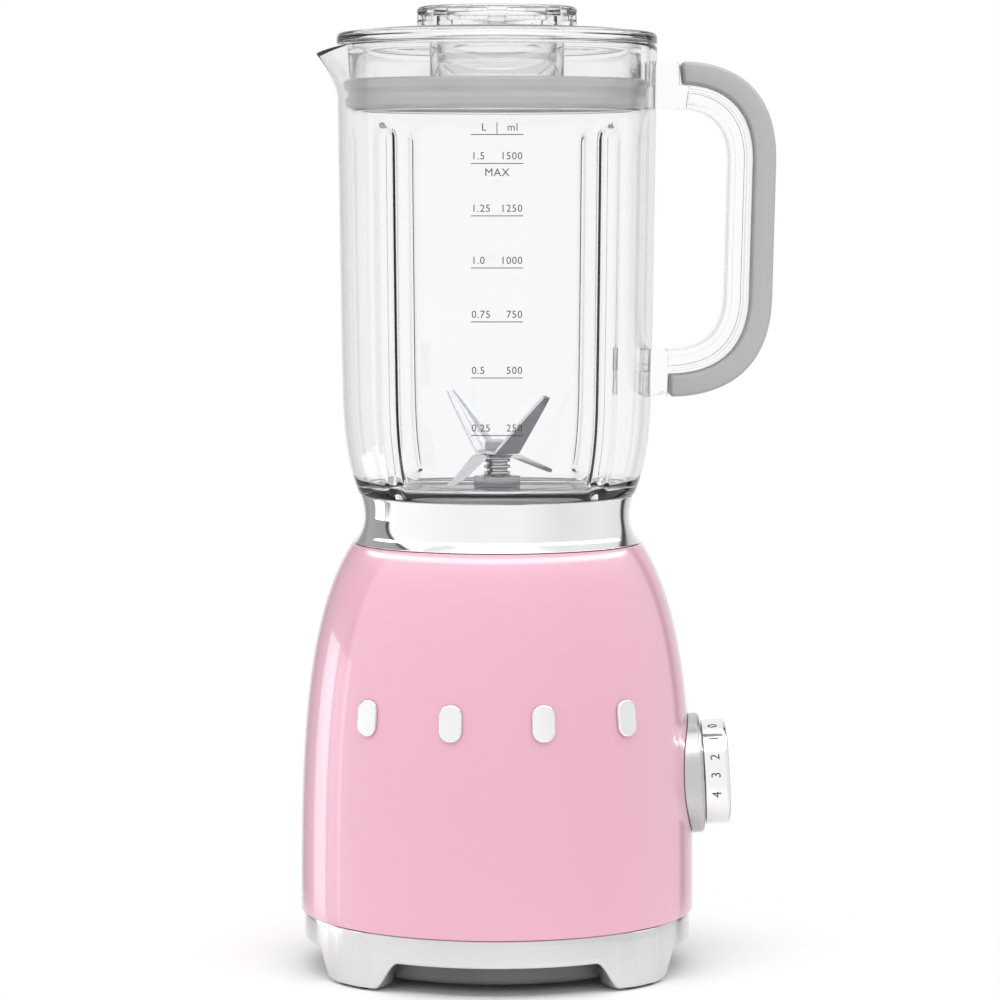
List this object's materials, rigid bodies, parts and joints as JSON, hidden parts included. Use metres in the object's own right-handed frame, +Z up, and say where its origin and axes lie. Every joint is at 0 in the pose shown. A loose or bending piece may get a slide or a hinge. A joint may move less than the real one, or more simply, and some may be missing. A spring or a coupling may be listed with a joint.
{
  "type": "countertop blender",
  "caption": "Free-standing blender: a round motor base with a side control knob, a clear lift-off jug with spout and handle on a screwed blade base, and a lid with a lift-out cap.",
  "frame": {"origin": "middle of the object's box in plan, on the surface it stands on", "axes": "+Z up; +Y towards the back, away from the scale on the jug; +X towards the handle and the control knob"},
  "size_m": [0.1962, 0.1634, 0.397],
  "materials": {
    "pink": "glossy pastel enamel",
    "chrome": "polished",
    "satin": "satin",
    "steel": "fine ground",
    "clear": "clear moulded plastic",
    "grip": "soft satin grey",
    "seal": "light grey silicone",
    "dark": "moulded, fine grain",
    "rubber": "matt",
    "copper": "enamelled copper wire",
    "iron": "stacked laminations",
    "brass": "machined",
    "carbon": "pressed carbon",
    "board": "printed board",
    "cream": "moulded"
  },
  "bodies": {
    "motor_base": {"body_shell": "pink", "base_ring": "chrome", "base_pan": "dark", "foot_front_left": "rubber", "foot_front_right": "rubber", "foot_rear_left": "rubber", "foot_rear_right": "rubber", "pan_screw_1": "steel", "pan_screw_2": "steel", "pan_screw_3": "steel", "pan_screw_4": "steel", "seat_plate": "dark", "motor_seal": "rubber", "interlock_switch": "dark", "upper_bracket": "satin", "lower_bracket": "satin", "upper_bearing": "steel", "lower_bearing": "steel", "stator_core": "iron", "field_coil_front": "copper", "field_coil_rear": "copper", "brush_holder_left": "brass", "brush_holder_right": "brass", "carbon_brush_left": "carbon", "carbon_brush_right": "carbon", "control_board": "board", "rotary_switch": "dark", "knob_bezel": "satin", "cord_gland": "dark", "badge_stud_1": "chrome", "badge_stud_2": "chrome", "badge_stud_3": "chrome", "badge_stud_4": "chrome"},
    "rotor": {"rotor_shaft": "steel", "armature_core": "copper", "commutator": "brass", "cooling_fan": "cream", "drive_coupling": "dark"},
    "control_knob": {"control_knob": "chrome", "knob_spindle": "steel"},
    "interlock_pin": {"interlock_pin": "cream", "interlock_spring": "steel"},
    "blade_base": {"jug_collar": "chrome", "blade_carrier": "steel", "jug_gasket": "seal", "hub_nut": "steel", "blade_bush": "brass"},
    "blades": {"blade_shaft": "steel", "blade_upper": "steel", "blade_lower": "steel", "blade_nut": "steel", "driven_coupling": "dark"},
    "jug": {"jug": "clear", "handle_grip": "grip"},
    "lid": {"lid": "clear", "lid_seal": "seal"},
    "lid_cap": {"lid_cap": "clear", "cap_seal": "seal"}
  },
  "joints": [
    {"name": "jug_lift", "type": "slide", "parent": "motor_base", "child": "blade_base", "axis": [0, 0, 1], "range_m": [0, 0.16]},
    {"name": "jug_unscrew", "type": "hinge", "parent": "blade_base", "child": "jug", "pos_m": [-0.01645, 0, 0.19], "axis": [0, 0, 1], "range_deg": [0, 45]},
    {"name": "lid_lift", "type": "slide", "parent": "jug", "child": "lid", "axis": [0, 0, 1], "range_m": [0, 0.08]},
    {"name": "cap_lift", "type": "slide", "parent": "lid", "child": "lid_cap", "axis": [0, 0, 1], "range_m": [0, 0.05]},
    {"name": "motor_spin", "type": "hinge", "parent": "motor_base", "child": "rotor", "pos_m": [-0.01645, 0, 0.1], "axis": [0, 0, 1], "continuous": true},
    {"name": "blade_spin", "type": "hinge", "parent": "blade_base", "child": "blades", "pos_m": [-0.01645, 0, 0.2], "axis": [0, 0, 1], "continuous": true},
    {"name": "knob_turn", "type": "hinge", "parent": "motor_base", "child": "control_knob", "pos_m": [0.06441, 0, 0.0797], "axis": [0.9986, 0, 0.0523], "range_deg": [-42, 84]},
    {"name": "interlock_press", "type": "slide", "parent": "motor_base", "child": "interlock_pin", "axis": [0, 0, 1], "range_m": [-0.003, 0], "stiffness_N_per_m": 200, "deforming": ["interlock_spring"]}
  ],
  "couplings": [
    {"joint": "blade_spin", "follows": "motor_spin", "ratio": 1}
  ]
}
